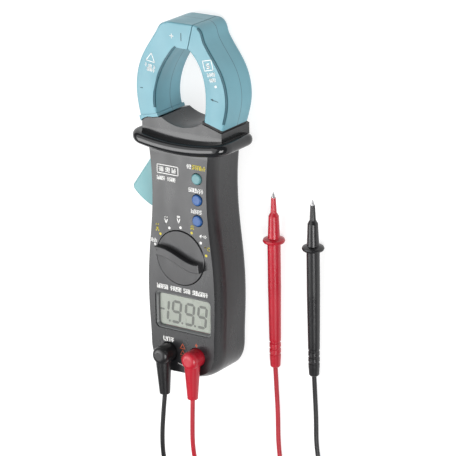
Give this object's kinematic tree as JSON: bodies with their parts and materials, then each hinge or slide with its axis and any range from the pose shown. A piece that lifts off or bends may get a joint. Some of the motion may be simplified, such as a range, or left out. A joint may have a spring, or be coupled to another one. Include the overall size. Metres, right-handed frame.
{
  "type": "clamp meter",
  "caption": "Hand-held clamp meter with sprung jaw, trigger, rotary selector, buttons, display, and two plugged-in test leads with probes.",
  "frame": {"origin": "on the back face, mid-way along the meter's length, on its middle plane", "axes": "+Z out of the front face, +Y towards the jaws, +X to the right for a reader of the display"},
  "size_m": [0.1268, 0.3192, 0.0394],
  "materials": {
    "case_black": "satin",
    "guard_black": "gloss",
    "teal_plastic": "satin",
    "dark_teal": "satin",
    "button_teal": "satin",
    "button_blue": "satin",
    "dial_grey": "satin",
    "white_plastic": "satin",
    "clear_window": "clear",
    "display_grey": "satin",
    "strip_rubber": "matte",
    "board_green": "satin",
    "part_black": "satin",
    "steel": "satin",
    "spring_steel": "satin",
    "brass": "satin",
    "cell_jacket": "satin",
    "core_iron": "satin",
    "winding_copper": "satin",
    "red_rubber": "matte",
    "black_rubber": "matte",
    "red_plastic": "satin",
    "black_plastic": "satin"
  },
  "bodies": {
    "case": {"front_case": "case_black", "rear_case": "case_black", "case_screws": "steel", "detent_ball": "steel", "detent_spring": "spring_steel", "display_frame": "case_black", "display_window": "clear_window", "display_glass": "display_grey", "contact_strips": "strip_rubber", "main_board": "board_green", "board_parts": "part_black", "controller_chip": "part_black", "key_switches": "part_black", "buzzer": "part_black", "battery_1": "cell_jacket", "battery_2": "cell_jacket", "battery_contacts": "spring_steel", "battery_springs": "spring_steel", "jack_sleeves": "brass", "jack_collars": "part_black", "jaw_pins": "steel", "jaw_spring": "spring_steel", "right_jaw_root": "teal_plastic", "right_jaw_seal": "black_rubber", "right_jaw_front": "teal_plastic", "right_jaw_rear": "teal_plastic", "right_jaw_bead": "dark_teal", "right_core": "core_iron", "right_winding": "winding_copper"},
    "jaw": {"jaw_lever": "teal_plastic", "left_jaw_lip": "teal_plastic", "left_jaw_front": "teal_plastic", "left_jaw_rear": "teal_plastic", "left_jaw_bead": "dark_teal", "left_core": "core_iron", "left_winding": "winding_copper"},
    "dial": {"dial_knob": "dial_grey", "dial_rotor": "white_plastic", "dial_wipers": "brass"},
    "light_button": {"button_light": "button_teal"},
    "select_button": {"button_select": "button_blue"},
    "hold_button": {"button_hold": "button_blue"},
    "cover": {"battery_cover": "case_black"},
    "red_lead": {"red_plug": "red_rubber", "red_plug_pin": "brass", "red_lead_plug_side": "red_rubber", "red_lead_coil": "red_rubber", "red_lead_probe_side": "red_rubber", "red_probe_handle": "red_plastic", "red_probe_needle": "steel"},
    "black_lead": {"black_plug": "black_rubber", "black_plug_pin": "brass", "black_lead_plug_side": "black_rubber", "black_lead_coil": "black_rubber", "black_lead_probe_side": "black_rubber", "black_probe_handle": "black_plastic", "black_probe_needle": "steel"}
  },
  "joints": [
    {"name": "jaw_pivot", "type": "hinge", "parent": "case", "child": "jaw", "pos_m": [-0.0195, 0.036, 0.014], "axis": [0, 0, 1], "range_deg": [0, 25], "stiffness_Nm_per_rad": 0.05, "springref_deg": -34.38},
    {"name": "dial_turn", "type": "hinge", "parent": "case", "child": "dial", "pos_m": [0, -0.0295, 0.027], "axis": [0, 0, 1], "range_deg": [-148.8, 0]},
    {"name": "light_press", "type": "slide", "parent": "case", "child": "light_button", "axis": [0, 0, -1], "range_m": [0, 0.0009], "stiffness_N_per_m": 900, "springref_m": -0.0006},
    {"name": "select_press", "type": "slide", "parent": "case", "child": "select_button", "axis": [0, 0, -1], "range_m": [0, 0.0009], "stiffness_N_per_m": 900, "springref_m": -0.0006},
    {"name": "hold_press", "type": "slide", "parent": "case", "child": "hold_button", "axis": [0, 0, -1], "range_m": [0, 0.0009], "stiffness_N_per_m": 900, "springref_m": -0.0006},
    {"name": "cover_slide", "type": "slide", "parent": "case", "child": "cover", "axis": [0, -1, 0], "range_m": [0, 0.03]},
    {"name": "red_plug_pull", "type": "slide", "parent": "case", "child": "red_lead", "axis": [0, 0, 1], "range_m": [0, 0.022]},
    {"name": "black_plug_pull", "type": "slide", "parent": "case", "child": "black_lead", "axis": [0, 0, 1], "range_m": [0, 0.022]}
  ]
}
